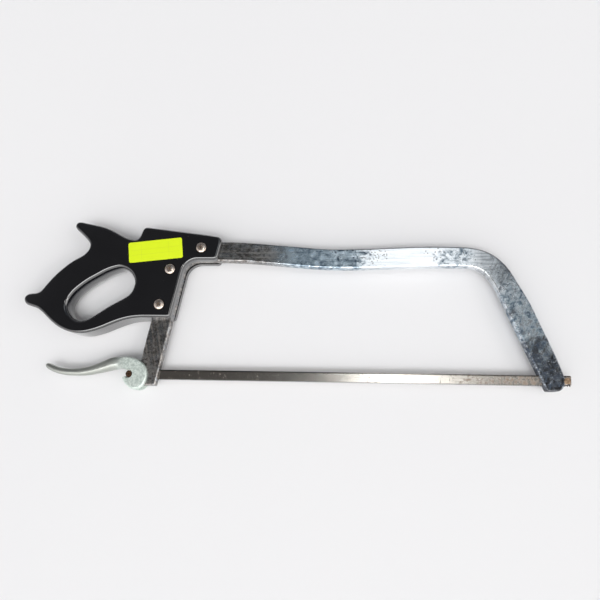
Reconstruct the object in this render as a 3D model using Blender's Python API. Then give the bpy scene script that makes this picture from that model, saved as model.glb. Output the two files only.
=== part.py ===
"""Butcher's bone saw lying on its side: +X to the nose, +Y to the back of the frame, +Z up."""

import math

import bmesh
import bpy
from mathutils import Vector

MM = 0.001

# The layout below is in millimetres, with y = 0 on the back edge of the blade.
# These two move the middle of the saw's outline to the world origin.
CENTRE_X = 141.55
CENTRE_Y = 78.35

HANDLE_T = 27.0
FRAME_T = 9.5
MID_Z = HANDLE_T / 2
FRAME_LOW = MID_Z - FRAME_T / 2
FRAME_HIGH = MID_Z + FRAME_T / 2
GAP = 0.35

LEAN = math.radians(11.5)
BEND_X, BEND_Y = 32.0, 114.2
BEND_IN, BEND_OUT = 20.0, 44.4
LEG_FOOT_Y = -19.5
LEG_LEFT_X, LEG_RIGHT_X = -41.0, -15.5
NOSE_FOOT_Y = -18.5
BAR_EDGE_R = 2.0

BLADE_W = 12.7
BLADE_T = 0.6
BLADE_FRONT = 466.5
TOOTH_PITCH = 2.667
TOOTH_DEPTH = 1.8
TEETH = 184
TEETH_FROM = -25.0

PIN_Y = -BLADE_W / 2
REAR_PIN_X = -47.5
FRONT_PIN_X = 460.5
PIN_R = 3.7

LEVER_LOW, LEVER_HIGH = 4.0, 23.0
THROAT_R = 4.6
CAM_R = 8.6
CAM_LIFT = 2.4
CAM_TURN = math.radians(110)

SCREWS = {"top": (35.8, 147.6), "middle": (-1.5, 120.9), "bottom": (-12.6, 77.3)}
HEAD_R = 6.2
BARREL_R = 3.75

LABEL_W, LABEL_H, LABEL_T = 66.7, 25.4, 0.16
LABEL_X, LABEL_Y = -20.6, 144.4
LABEL_TURN = math.radians(5.8)

# Outer edge of the bar from the bend over the back to the nose, then the inner edge home.
BAR_BACK = [
    (58.5, 158.4), (76.0, 157.9), (92.0, 157.0), (125.0, 154.3), (154.0, 151.6),
    (177.0, 149.4), (200.0, 148.5), (222.0, 148.8), (245.0, 149.6), (268.0, 150.6),
    (290.0, 151.3), (312.0, 151.6), (335.0, 151.2), (354.0, 150.3), (367.0, 147.9),
    (378.5, 143.2), (389.5, 135.2), (399.5, 123.8), (408.5, 108.5), (421.5, 85.0),
    (432.2, 61.0), (441.4, 40.0), (450.7, 17.5), (455.3, 5.0), (457.5, -1.5),
    (458.3, -6.0), (457.7, -11.0), (455.4, -15.4), (451.8, -17.9), (447.6, -18.5),
]
BAR_INSIDE = [
    (439.6, -18.5), (438.2, -18.1), (437.3, -17.0), (430.0, -0.5), (411.0, 42.5),
    (391.5, 86.5), (386.5, 97.5), (381.0, 107.6), (374.6, 116.6), (367.0, 122.8),
    (357.0, 126.2), (345.0, 127.2), (330.0, 127.3), (300.0, 126.8), (270.0, 126.0),
    (240.0, 125.2), (202.5, 124.8), (178.0, 125.7), (155.0, 127.5), (118.0, 130.9),
    (90.0, 133.2), (60.0, 134.2), (46.0, 134.2),
]

HORN = [
    (-38.2, 171.5), (-40.0, 167.0), (-42.6, 161.6), (-46.2, 158.9), (-51.0, 159.0),
    (-58.0, 161.0), (-66.0, 164.8), (-75.0, 169.8), (-85.0, 174.2), (-98.0, 177.7),
    (-110.0, 180.3), (-117.0, 181.8), (-120.8, 181.7), (-123.8, 179.7),
    (-124.8, 176.2), (-123.2, 172.8), (-117.5, 167.6), (-111.7, 162.2),
    (-106.6, 156.6), (-104.6, 152.0), (-105.6, 147.2), (-108.4, 143.0),
    (-113.0, 138.9), (-121.0, 134.4), (-129.0, 129.2), (-138.0, 121.8),
    (-146.8, 113.4), (-154.0, 105.2), (-159.8, 97.8), (-163.2, 93.8), (-168.0, 91.6),
    (-174.0, 90.9), (-179.0, 89.8), (-182.2, 87.4), (-183.4, 83.8), (-182.4, 80.0),
    (-179.6, 77.0), (-173.0, 74.6), (-166.0, 72.2), (-159.5, 67.6), (-152.0, 60.6),
    (-144.0, 53.8), (-135.0, 48.0), (-124.6, 43.8), (-115.0, 42.0), (-105.0, 42.0),
    (-95.0, 44.0), (-84.0, 47.6), (-72.0, 52.6), (-60.0, 57.2), (-49.0, 60.1),
    (-37.0, 61.6), (-22.0, 61.8),
]
GRIP = [
    (-127.6, 80.5), (-121.6, 90.6), (-111.8, 99.8), (-101.5, 107.2), (-91.4, 113.0),
    (-81.4, 118.5), (-71.2, 122.3), (-63.6, 123.5), (-56.8, 121.8), (-50.6, 117.2),
    (-46.9, 111.6), (-45.3, 105.8), (-46.2, 98.8), (-49.4, 92.0), (-55.4, 86.8),
    (-68.2, 79.6), (-78.2, 73.8), (-88.1, 67.1), (-98.0, 60.9), (-105.1, 57.9),
    (-112.4, 57.3), (-119.6, 60.4), (-125.2, 66.8), (-127.9, 73.6),
]

HUB = [
    (-67.0, 12.6), (-61.5, 14.1), (-53.0, 14.5), (-43.4, 13.3), (-34.2, 9.5),
    (-28.0, 3.8), (-25.0, -4.4), (-25.5, -12.9), (-29.2, -20.4), (-34.6, -24.2),
    (-40.0, -25.1), (-45.4, -23.0), (-50.3, -18.7), (-53.5, -14.6), (-54.7, -11.0),
    (-56.0, -6.0), (-58.6, 0.4), (-62.6, 2.0), (-66.6, 4.6),
]
# Along the finger arm: x, y of the middle, half its depth, half its thickness.
ARM = [
    (-50.5, 7.2, 6.2, 8.9), (-60.0, 7.8, 7.3, 8.9), (-70.0, 6.3, 7.6, 8.3),
    (-80.0, 2.9, 6.8, 7.3), (-90.0, -0.3, 5.9, 6.4), (-100.0, -2.8, 5.2, 5.8),
    (-110.0, -4.2, 4.7, 5.4), (-120.0, -4.6, 4.4, 5.2), (-130.0, -4.1, 4.2, 5.0),
    (-140.0, -2.3, 4.0, 4.8), (-147.5, 0.6, 3.9, 4.5), (-151.0, 2.3, 3.7, 4.1),
    (-153.4, 3.6, 3.0, 3.3), (-154.9, 4.4, 1.9, 2.1), (-155.6, 4.8, 0.8, 0.9),
]


def clear_scene():
    for obj in list(bpy.data.objects):
        bpy.data.objects.remove(obj, do_unlink=True)


def arc(x, y, r, start, end, steps):
    """Points on a circle between two angles in degrees."""
    found = []
    for i in range(steps + 1):
        a = math.radians(start + (end - start) * i / steps)
        found.append((x + r * math.cos(a), y + r * math.sin(a)))
    return found


def area(loop):
    total = 0.0
    for (x0, y0), (x1, y1) in zip(loop, loop[1:] + loop[:1]):
        total += x0 * y1 - x1 * y0
    return total / 2


def anticlockwise(loop):
    return loop if area(loop) > 0 else loop[::-1]


def curve_point(p0, p1, p2, p3, t):
    """A centripetal Catmull-Rom curve between p1 and p2."""
    knots = [0.0]
    for a, b in ((p0, p1), (p1, p2), (p2, p3)):
        knots.append(knots[-1] + max((b - a).length, 1e-6) ** 0.5)
    k0, k1, k2, k3 = knots
    u = k1 + (k2 - k1) * t
    a1 = p0 * ((k1 - u) / (k1 - k0)) + p1 * ((u - k0) / (k1 - k0))
    a2 = p1 * ((k2 - u) / (k2 - k1)) + p2 * ((u - k1) / (k2 - k1))
    a3 = p2 * ((k3 - u) / (k3 - k2)) + p3 * ((u - k2) / (k3 - k2))
    b1 = a1 * ((k2 - u) / (k2 - k0)) + a2 * ((u - k0) / (k2 - k0))
    b2 = a2 * ((k3 - u) / (k3 - k1)) + a3 * ((u - k1) / (k3 - k1))
    return b1 * ((k2 - u) / (k2 - k1)) + b2 * ((u - k1) / (k2 - k1))


def turn_at(p0, p1, p2):
    a, b = p1 - p0, p2 - p1
    if a.length < 1e-9 or b.length < 1e-9:
        return 0.0
    return abs(a.angle(b))


def smooth_loop(points, step):
    """A closed curve through the points, cut finer where it turns."""
    pts = [Vector(p) for p in points]
    count = len(pts)
    found = []
    for i in range(count):
        p0, p1 = pts[i - 1], pts[i]
        p2, p3 = pts[(i + 1) % count], pts[(i + 2) % count]
        bend = turn_at(p0, p1, p2) + turn_at(p1, p2, p3)
        length = (p2 - p1).length
        pieces = 1
        if bend > 0.12:
            pieces = max(1, round(length / step))
        for k in range(pieces):
            q = curve_point(p0, p1, p2, p3, k / pieces)
            found.append((q.x, q.y))
    return anticlockwise(found)


def grown(loop, distance):
    """The loop moved outwards by a distance, or inwards by a negative one."""
    found = []
    count = len(loop)
    for i in range(count):
        a, b, c = Vector(loop[i - 1]), Vector(loop[i]), Vector(loop[(i + 1) % count])
        d0, d1 = (b - a).normalized(), (c - b).normalized()
        n0, n1 = Vector((d0.y, -d0.x)), Vector((d1.y, -d1.x))
        mid = (n0 + n1).normalized()
        reach = distance / max(mid.dot(n0), 0.6)
        found.append((b.x + mid.x * reach, b.y + mid.y * reach))
    return found


def stack_mesh(rings):
    """A closed mesh from rings of equal length, lowest first, with flat ends."""
    mesh = bmesh.new()
    rows = []
    for ring in rings:
        rows.append([mesh.verts.new(p) for p in ring])
    count = len(rings[0])
    for low, high in zip(rows, rows[1:]):
        for i in range(count):
            j = (i + 1) % count
            mesh.faces.new((low[i], low[j], high[j], high[i]))
    mesh.faces.new(rows[0][::-1])
    mesh.faces.new(rows[-1])
    return mesh


def level(loop, z):
    return [(x, y, z) for x, y in loop]


def plate_rings(loop, low, high, r, steps):
    """Rings of a plate whose two outer edges are rounded by r."""
    rings = []
    for i in range(steps + 1):
        a = math.pi / 2 * i / steps
        rings.append(level(grown(loop, -r * (1 - math.sin(a))), low + r * (1 - math.cos(a))))
    for i in range(steps + 1):
        a = math.pi / 2 * (1 - i / steps)
        rings.append(level(grown(loop, -r * (1 - math.sin(a))), high - r * (1 - math.cos(a))))
    return rings


def flared_rings(loop, low, high, r, steps):
    """Rings of a cutter that rounds the rim of its hole by r on both faces."""
    rings = [level(grown(loop, r + 2.0), low - 2.0)]
    for i in range(steps + 1):
        a = math.pi / 2 * i / steps
        rings.append(level(grown(loop, r * (1 - math.sin(a))), low + r * (1 - math.cos(a))))
    for i in range(steps + 1):
        a = math.pi / 2 * (1 - i / steps)
        rings.append(level(grown(loop, r * (1 - math.sin(a))), high - r * (1 - math.cos(a))))
    rings.append(level(grown(loop, r + 2.0), high + 2.0))
    return rings


def prism(loop, low, high):
    return stack_mesh([level(anticlockwise(loop), low), level(anticlockwise(loop), high)])


def turned(x, y, profile, sides):
    """A solid of revolution about a vertical axis; profile is (radius, z), lowest first."""
    rings = []
    for r, z in profile:
        ring = []
        for i in range(sides):
            a = 2 * math.pi * i / sides
            ring.append((x + r * math.cos(a), y + r * math.sin(a), z))
        rings.append(ring)
    return stack_mesh(rings)


def place(name, mesh, origin=(0.0, 0.0, 0.0)):
    """Turns a millimetre mesh into an object whose origin is at the given layout point."""
    for v in mesh.verts:
        v.co = (v.co - Vector(origin)) * MM
    bmesh.ops.recalc_face_normals(mesh, faces=mesh.faces)
    data = bpy.data.meshes.new(name)
    mesh.to_mesh(data)
    mesh.free()
    obj = bpy.data.objects.new(name, data)
    bpy.context.scene.collection.objects.link(obj)
    shift = Vector(origin) - Vector((CENTRE_X, CENTRE_Y, 0.0))
    obj.location = shift * MM
    return obj


def combine(obj, others, operation):
    """Adds or cuts the other objects, bakes the result and removes them."""
    for other in others:
        step = obj.modifiers.new(operation.lower(), "BOOLEAN")
        step.operation = operation
        step.solver = "EXACT"
        step.object = other
    bpy.context.view_layer.update()
    graph = bpy.context.evaluated_depsgraph_get()
    data = bpy.data.meshes.new_from_object(obj.evaluated_get(graph))
    obj.modifiers.clear()
    obj.data = data
    data.name = obj.name
    for other in others:
        bpy.data.objects.remove(other, do_unlink=True)


def finish_faces(obj, color, metallic, roughness, angle=35.0):
    obj.data.shade_smooth()
    obj.data.set_sharp_from_angle(angle=math.radians(angle))
    material = bpy.data.materials.new(obj.name)
    material.use_nodes = True
    shader = material.node_tree.nodes["Principled BSDF"]
    shader.inputs["Base Color"].default_value = (*color, 1.0)
    shader.inputs["Metallic"].default_value = metallic
    shader.inputs["Roughness"].default_value = roughness
    obj.data.materials.clear()
    obj.data.materials.append(material)


def leg_x(foot_x, y):
    """A long edge of the rear leg at height y."""
    return foot_x + (y - LEG_FOOT_Y) * math.tan(LEAN)


def bar_loop():
    lean = math.degrees(LEAN)
    rear = [(LEG_LEFT_X, LEG_FOOT_Y), (leg_x(LEG_LEFT_X, 40.0), 40.0)]
    outer = arc(BEND_X, BEND_Y, BEND_OUT, 180 - lean, 90, 9)
    inner = arc(BEND_X, BEND_Y, BEND_IN, 90, 180 - lean, 7)
    home = [(leg_x(LEG_RIGHT_X, 40.0), 40.0), (LEG_RIGHT_X, LEG_FOOT_Y)]
    curved = smooth_run(outer[-2:] + BAR_BACK + BAR_INSIDE + inner[:2], 6.0)
    return anticlockwise(rear + outer[:-1] + curved[1:-1] + inner[1:] + home)


def smooth_run(points, step):
    """An open curve through the points, leaving out the first and last, which only steer it."""
    pts = [Vector(p) for p in points]
    found = []
    for i in range(1, len(pts) - 2):
        p0, p1, p2, p3 = pts[i - 1 : i + 3]
        bend = turn_at(p0, p1, p2) + turn_at(p1, p2, p3)
        pieces = 1
        if bend > 0.12:
            pieces = max(1, round((p2 - p1).length / step))
        for k in range(pieces):
            q = curve_point(p0, p1, p2, p3, k / pieces)
            found.append((q.x, q.y))
    found.append(tuple(pts[-2]))
    return [tuple(pts[0])] + found + [tuple(pts[-1])]


def build_frame():
    obj = place("frame", stack_mesh(plate_rings(bar_loop(), FRAME_LOW, FRAME_HIGH, BAR_EDGE_R, 2)))
    slot_low = MID_Z - BLADE_T / 2 - GAP
    slot_high = MID_Z + BLADE_T / 2 + GAP
    cutters = []
    for x0, x1 in ((-60.0, 5.0), (415.0, 475.0)):
        loop = [(x0, -30.0), (x1, -30.0), (x1, 0.6), (x0, 0.6)]
        cutters.append(place("slot", prism(loop, slot_low, slot_high)))
    for x, y in SCREWS.values():
        cutters.append(place("hole", turned(x, y, [(BARREL_R + GAP, 0.0), (BARREL_R + GAP, 30.0)], 24)))
    notch = [(PIN_R + GAP, 0.0), (PIN_R + GAP, 30.0)]
    cutters.append(place("notch", turned(FRONT_PIN_X, PIN_Y, notch, 32)))
    combine(obj, cutters, "DIFFERENCE")
    finish_faces(obj, (0.62, 0.63, 0.65), 1.0, 0.2)
    return obj


def handle_loop():
    lean = math.degrees(LEAN)
    edge = 1.0
    foot = 61.8
    inner = arc(BEND_X, BEND_Y, BEND_IN - edge, 180 - lean, 90, 6)
    corner_x = leg_x(LEG_RIGHT_X, foot) + edge
    low = arc(corner_x - 4.0, foot + 4.0, 4.0, -90, -lean + 4, 4)
    end = [(48.0, 133.2), (51.5, 133.3), (54.6, 134.6), (56.2, 137.6), (58.2, 146.0)]
    top = [(60.0, 154.6), (59.4, 158.8), (56.4, 161.6), (52.0, 162.7), (10.0, 168.6)]
    back = [(-28.5, 173.9), (-32.4, 174.4), (-35.8, 173.8)]
    return smooth_loop(low + inner + end + top + back + HORN, 5.0)


def slot_loop():
    """The pocket for the bar: open along the inner edge, at the foot and at the front."""
    lean = math.degrees(LEAN)
    outer = arc(BEND_X, BEND_Y, BEND_OUT + GAP, 180 - lean, 90, 12)
    foot = [(leg_x(LEG_LEFT_X, 30.0) - GAP, 30.0)]
    top = [(60.0, 158.6 + GAP), (80.0, 158.2 + GAP)]
    return foot + outer + top + [(80.0, 100.0), (30.0, 30.0)]


def build_handle():
    obj = place("handle", stack_mesh(plate_rings(handle_loop(), 0.0, HANDLE_T, 3.2, 3)))
    grip = flared_rings(smooth_loop(GRIP, 6.0), 0.0, HANDLE_T, 3.6, 3)
    cutters = [place("grip", stack_mesh(grip))]
    cutters.append(place("pocket", prism(slot_loop(), FRAME_LOW - GAP, FRAME_HIGH + GAP)))
    for x, y in SCREWS.values():
        bore = [(HEAD_R + 0.4, -1.0), (HEAD_R + 0.4, 2.0), (BARREL_R + GAP, 2.0)]
        bore += [(BARREL_R + GAP, HANDLE_T - 1.0), (HEAD_R + 0.4, HANDLE_T - 1.0)]
        bore += [(HEAD_R + 0.4, HANDLE_T + 1.0)]
        cutters.append(place("bore", turned(x, y, bore, 28)))
    combine(obj, cutters, "DIFFERENCE")
    finish_faces(obj, (0.012, 0.012, 0.014), 0.0, 0.18)
    return obj


def build_screw(name, x, y):
    """A domed screw head with a cross recess, on a plain shank."""
    under = HANDLE_T - 0.7
    profile = [(2.0, 8.0), (2.45, 8.6), (2.45, under), (HEAD_R, under), (HEAD_R, under + 0.8)]
    for r, z in ((5.7, 1.35), (4.6, 1.95), (3.2, 2.35), (1.6, 2.55)):
        profile.append((r, under + z))
    obj = place(name, turned(x, y, profile, 28), (x, y, MID_Z))
    cutters = []
    turn = math.radians(24 + 31 * len(name))
    for k in range(2):
        bar = []
        for u, v in ((-2.9, -0.75), (2.9, -0.75), (2.9, 0.75), (-2.9, 0.75)):
            a = turn + k * math.pi / 2
            bar.append((x + u * math.cos(a) - v * math.sin(a), y + u * math.sin(a) + v * math.cos(a)))
        cutters.append(place("recess", prism(bar, under + 1.1, under + 6.0)))
    combine(obj, cutters, "DIFFERENCE")
    finish_faces(obj, (0.6, 0.55, 0.5), 1.0, 0.25)
    return obj


def build_nut(name, x, y):
    """A flanged sleeve nut, flush with the far face of the handle, with a coin slot."""
    profile = [(HEAD_R - 0.5, 0.25), (HEAD_R, 0.7), (HEAD_R, 1.6), (BARREL_R, 1.6), (BARREL_R, 24.0)]
    obj = place(name, turned(x, y, profile, 28), (x, y, MID_Z))
    bore = place("bore", turned(x, y, [(2.8, 6.0), (2.8, 30.0)], 20))
    slot = place("slot", prism([(x - 9, y - 0.7), (x + 9, y - 0.7), (x + 9, y + 0.7), (x - 9, y + 0.7)], -1.0, 1.0))
    combine(obj, [bore, slot], "DIFFERENCE")
    finish_faces(obj, (0.6, 0.55, 0.5), 1.0, 0.25)
    return obj


def blade_loop():
    loop = arc(REAR_PIN_X, PIN_Y, BLADE_W / 2, 90, 270, 12)
    root = -BLADE_W + TOOTH_DEPTH
    loop.append((TEETH_FROM - 4.0, -BLADE_W))
    loop.append((TEETH_FROM - 1.2, -BLADE_W))
    for i in range(TEETH):
        x = TEETH_FROM + i * TOOTH_PITCH
        loop.append((x, root))
        loop.append((x + 0.72 * TOOTH_PITCH, -BLADE_W))
    loop.append((TEETH_FROM + TEETH * TOOTH_PITCH, root))
    loop.append((BLADE_FRONT, root))
    loop.append((BLADE_FRONT, -1.0))
    loop.append((BLADE_FRONT - 1.0, 0.0))
    return loop


def build_blade():
    low, high = MID_Z - BLADE_T / 2, MID_Z + BLADE_T / 2
    obj = place("blade", prism(blade_loop(), low, high), (REAR_PIN_X, PIN_Y, MID_Z))
    cutters = []
    for x in (REAR_PIN_X, FRONT_PIN_X):
        hole = [(PIN_R + 0.3, low - 3), (PIN_R + 0.3, high + 3)]
        cutters.append(place("eye", turned(x, PIN_Y, hole, 24)))
    combine(obj, cutters, "DIFFERENCE")
    finish_faces(obj, (0.4, 0.37, 0.33), 1.0, 0.35)
    return obj


def build_pin(name, x, low, high):
    profile = [(PIN_R - 0.6, low), (PIN_R, low + 0.6), (PIN_R, high - 0.6), (PIN_R - 0.6, high)]
    obj = place(name, turned(x, PIN_Y, profile, 32), (x, PIN_Y, MID_Z))
    finish_faces(obj, (0.42, 0.3, 0.16), 1.0, 0.4)
    return obj


def arm_mesh():
    """The finger arm: rounded sections along its curve."""
    rings = []
    sides = 16
    for i, (x, y, depth, thick) in enumerate(ARM):
        before, after = ARM[max(i - 1, 0)], ARM[min(i + 1, len(ARM) - 1)]
        run = Vector((after[0] - before[0], after[1] - before[1])).normalized()
        ring = []
        for k in range(sides):
            a = 2 * math.pi * k / sides
            c, s = math.cos(a), math.sin(a)
            u = depth * math.copysign(abs(c) ** 0.85, c)
            v = thick * math.copysign(abs(s) ** 0.85, s)
            ring.append((x - run.y * u, y + run.x * u, MID_Z + v))
        rings.append(ring)
    return stack_mesh(rings)


def cam_radius(angle):
    """The cam inside the fork, in degrees about the pin; it falls away as the lever opens."""
    away = math.radians(-math.degrees(LEAN) - angle)
    share = min(max(away / CAM_TURN, 0.0), 1.0)
    return CAM_R - CAM_LIFT * share


def fork_loop():
    """The room between the hub's cheeks, round the outside of the cam."""
    loop = arc(REAR_PIN_X, PIN_Y, 34.0, 72, -165, 24)
    angle = -165.0
    while angle <= 72.0:
        r = cam_radius(angle)
        a = math.radians(angle)
        loop.append((REAR_PIN_X + r * math.cos(a), PIN_Y + r * math.sin(a)))
        angle += 7.9
    return loop


def throat_loop():
    """The hook's mouth: round about the pin and open to the rear."""
    loop = arc(REAR_PIN_X, PIN_Y, THROAT_R, 216, 476, 20)
    return loop + [(-53.2, -0.5), (-58.6, 0.9), (-63.0, -2.4), (-72.0, -9.0), (-72.0, -14.0), (-58.0, -12.7)]


def build_lever():
    hub = smooth_loop(HUB, 4.0)
    obj = place("cam_lever", stack_mesh(plate_rings(hub, LEVER_LOW, LEVER_HIGH, 1.8, 2)), (REAR_PIN_X, PIN_Y, MID_Z))
    combine(obj, [place("arm", arm_mesh())], "UNION")
    fork = place("fork", prism(fork_loop(), FRAME_LOW - GAP, FRAME_HIGH + GAP))
    throat = place("throat", prism(throat_loop(), -2.0, 30.0))
    half = BLADE_T / 2 + GAP
    kerf = place("kerf", turned(REAR_PIN_X, PIN_Y, [(9.4, MID_Z - half), (9.4, MID_Z + half)], 36))
    combine(obj, [fork, throat, kerf], "DIFFERENCE")
    finish_faces(obj, (0.55, 0.57, 0.54), 1.0, 0.45)
    return obj


def build_label():
    loop = []
    for sx, sy, start in ((1, 1, 0), (-1, 1, 90), (-1, -1, 180), (1, -1, 270)):
        x, y = sx * (LABEL_W / 2 - 2.4), sy * (LABEL_H / 2 - 2.4)
        loop += arc(x, y, 2.4, start, start + 90, 4)
    c, s = math.cos(LABEL_TURN), math.sin(LABEL_TURN)
    loop = [(LABEL_X + x * c - y * s, LABEL_Y + x * s + y * c) for x, y in loop]
    low = HANDLE_T + 0.06
    obj = place("lot_label", prism(loop, low, low + LABEL_T), (LABEL_X, LABEL_Y, low))
    finish_faces(obj, (0.68, 0.85, 0.02), 0.0, 0.6)
    return obj


def main():
    clear_scene()
    build_frame()
    build_handle()
    for place_name, (x, y) in SCREWS.items():
        build_screw("handle_screw_" + place_name, x, y)
        build_nut("sleeve_nut_" + place_name, x, y)
    build_blade()
    build_pin("rear_blade_pin", REAR_PIN_X, 6.0, 21.0)
    build_pin("front_blade_pin", FRONT_PIN_X, 8.6, 18.4)
    build_lever()
    build_label()


main()
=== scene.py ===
"""Butcher's bone saw lying on a pale floor: bright plated bar, gloss black handle, toothed blade."""

import math

import bmesh
import bpy
from mathutils import Euler, Matrix, Vector


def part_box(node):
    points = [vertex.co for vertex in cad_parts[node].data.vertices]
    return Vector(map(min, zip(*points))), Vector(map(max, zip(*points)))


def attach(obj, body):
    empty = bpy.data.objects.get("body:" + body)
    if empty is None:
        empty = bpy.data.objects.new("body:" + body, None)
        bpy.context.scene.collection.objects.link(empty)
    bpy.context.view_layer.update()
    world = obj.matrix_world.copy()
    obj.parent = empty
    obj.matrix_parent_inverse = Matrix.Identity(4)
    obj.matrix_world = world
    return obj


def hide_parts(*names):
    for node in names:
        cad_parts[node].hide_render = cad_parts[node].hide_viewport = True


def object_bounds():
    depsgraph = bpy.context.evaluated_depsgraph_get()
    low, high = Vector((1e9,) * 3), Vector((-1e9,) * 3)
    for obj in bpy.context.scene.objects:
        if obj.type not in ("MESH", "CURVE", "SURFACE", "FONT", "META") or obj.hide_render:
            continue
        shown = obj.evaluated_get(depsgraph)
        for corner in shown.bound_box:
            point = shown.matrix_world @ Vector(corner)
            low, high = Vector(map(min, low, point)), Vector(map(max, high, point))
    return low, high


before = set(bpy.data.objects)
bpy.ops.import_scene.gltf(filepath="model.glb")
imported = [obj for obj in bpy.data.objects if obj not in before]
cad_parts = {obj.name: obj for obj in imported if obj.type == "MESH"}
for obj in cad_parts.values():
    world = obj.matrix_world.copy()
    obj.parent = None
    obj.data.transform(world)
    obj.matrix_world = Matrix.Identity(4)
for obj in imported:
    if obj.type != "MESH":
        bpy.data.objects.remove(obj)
CAD_LOW, CAD_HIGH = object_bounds()

MM = 0.001

# The layout is in millimetres, with y = 0 on the back edge of the blade.
BLADE_FRONT = 466.5
CENTRE_X = BLADE_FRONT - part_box("blade")[1].x / MM
CENTRE_Y = -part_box("blade")[1].y / MM

HANDLE_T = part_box("handle")[1].z / MM
FRAME_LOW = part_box("frame")[0].z / MM
FRAME_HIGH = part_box("frame")[1].z / MM
MID_Z = (FRAME_LOW + FRAME_HIGH) / 2
GAP = 0.35

LEAN = math.radians(11.5)
FRONT_LEAN = math.radians(24.0)
BEND_X, BEND_Y = 32.0, 114.2
BEND_IN, BEND_OUT = 20.0, 44.4
LEG_FOOT_Y = -19.5
LEG_LEFT_X, LEG_RIGHT_X = -41.0, -15.5
BAR_EDGE_R = 2.0
FOOT_CORNER = 0.8

BLADE_W = 12.7
BLADE_T = 0.6
TOOTH_PITCH = 2.667
TOOTH_DEPTH = 1.8
TEETH_FROM = -25.0
TEETH = int((BLADE_FRONT - TEETH_FROM) / TOOTH_PITCH)
TOOTH_SET = 0.14

PIN_Y = -BLADE_W / 2
REAR_PIN_X = -47.5
FRONT_PIN_X = 460.5
PIN_R = 3.7
PIN_EDGE_R = 0.6
REAR_PIN_Z = (6.0, 21.0)
FRONT_PIN_Z = (8.6, 18.4)

LEVER_LOW, LEVER_HIGH = 4.0, 23.0
HUB_EDGE_R = 1.8
CAST_VOXEL = 0.62
CAST_SOFTENING = 14
THROAT_R = 5.3
CAM_R = 8.6
CAM_LIFT = 2.4
CAM_TURN = math.radians(110)

SCREWS = {"top": (35.8, 147.6), "middle": (-1.5, 120.9), "bottom": (-12.6, 77.3)}
HEAD_R = 6.2
BARREL_R = 3.75
SHANK_R = 2.45
DOME = 1.69
HANDLE_FOOT_Y = 61.8
HANDLE_EDGE_R = 3.2

# The grip opening's waist is a little inside GRIP, and it flares to each face: how wide, how deep.
GRIP_WAIST = -0.9
GRIP_FAR = (8.5, 15.0)
GRIP_NEAR = (4.5, 8.0)

LABEL_W, LABEL_H, LABEL_T = 66.7, 25.4, 0.16
LABEL_GAP = 0.06
LABEL_CORNER_R = 2.4
LABEL_X, LABEL_Y = -20.6, 144.4
LABEL_TURN = math.radians(5.8)

# Outer edge of the bar from the bend over the back to the nose, then the inner edge home.
BAR_BACK = [
    (58.5, 158.4), (76.0, 157.9), (92.0, 157.0), (125.0, 154.3), (154.0, 151.6),
    (177.0, 149.4), (200.0, 148.5), (222.0, 148.8), (245.0, 149.6), (268.0, 150.6),
    (290.0, 151.3), (312.0, 151.6), (335.0, 151.2), (354.0, 150.3), (367.0, 147.9),
    (378.5, 143.2), (389.5, 135.2), (399.5, 123.8), (408.5, 108.5), (421.5, 85.0),
    (432.2, 61.0), (441.4, 40.0), (450.7, 17.5), (455.3, 5.0), (457.5, -1.5),
    (458.3, -6.0), (457.7, -11.0), (455.4, -15.4), (451.8, -17.9), (447.6, -18.5),
]
BAR_INSIDE = [
    (439.6, -18.5), (438.2, -18.1), (437.3, -17.0), (430.0, -0.5), (411.0, 42.5),
    (391.5, 86.5), (386.5, 97.5), (381.0, 107.6), (374.6, 116.6), (367.0, 122.8),
    (357.0, 126.2), (345.0, 127.2), (330.0, 127.3), (300.0, 126.8), (270.0, 126.0),
    (240.0, 125.2), (202.5, 124.8), (178.0, 125.7), (155.0, 127.5), (118.0, 130.9),
    (90.0, 133.2), (60.0, 134.2), (46.0, 134.2),
]

HORN = [
    (-38.2, 171.5), (-40.0, 167.0), (-42.6, 161.6), (-46.2, 158.9), (-51.0, 159.0),
    (-58.0, 161.0), (-66.0, 164.8), (-75.0, 169.8), (-85.0, 174.2), (-98.0, 177.7),
    (-110.0, 180.3), (-117.0, 181.8), (-120.8, 181.7), (-123.8, 179.7),
    (-124.8, 176.2), (-123.2, 172.8), (-117.5, 167.6), (-111.7, 162.2),
    (-106.6, 156.6), (-104.6, 152.0), (-105.6, 147.2), (-108.4, 143.0),
    (-113.0, 138.9), (-121.0, 134.4), (-129.0, 129.2), (-138.0, 121.8),
    (-146.8, 113.4), (-154.0, 105.2), (-159.8, 97.8), (-163.2, 93.8), (-168.0, 91.6),
    (-174.0, 90.9), (-179.0, 89.8), (-182.2, 87.4), (-183.4, 83.8), (-182.4, 80.0),
    (-179.6, 77.0), (-173.0, 74.6), (-166.0, 72.2), (-159.5, 67.6), (-152.0, 60.6),
    (-144.0, 53.8), (-135.0, 48.0), (-124.6, 43.8), (-115.0, 42.0), (-105.0, 42.0),
    (-95.0, 44.0), (-84.0, 47.6), (-72.0, 52.6), (-60.0, 57.2), (-49.0, 60.1),
    (-37.0, 61.6), (-22.0, 61.8),
]
GRIP = [
    (-127.6, 80.5), (-121.6, 90.6), (-111.8, 99.8), (-101.5, 107.2), (-91.4, 113.0),
    (-81.4, 118.5), (-71.2, 122.3), (-63.6, 123.5), (-56.8, 121.8), (-50.6, 117.2),
    (-46.9, 111.6), (-45.3, 105.8), (-46.2, 98.8), (-49.4, 92.0), (-55.4, 86.8),
    (-68.2, 79.6), (-78.2, 73.8), (-88.1, 67.1), (-98.0, 60.9), (-105.1, 57.9),
    (-112.4, 57.3), (-119.6, 60.4), (-125.2, 66.8), (-127.9, 73.6),
]

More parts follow.
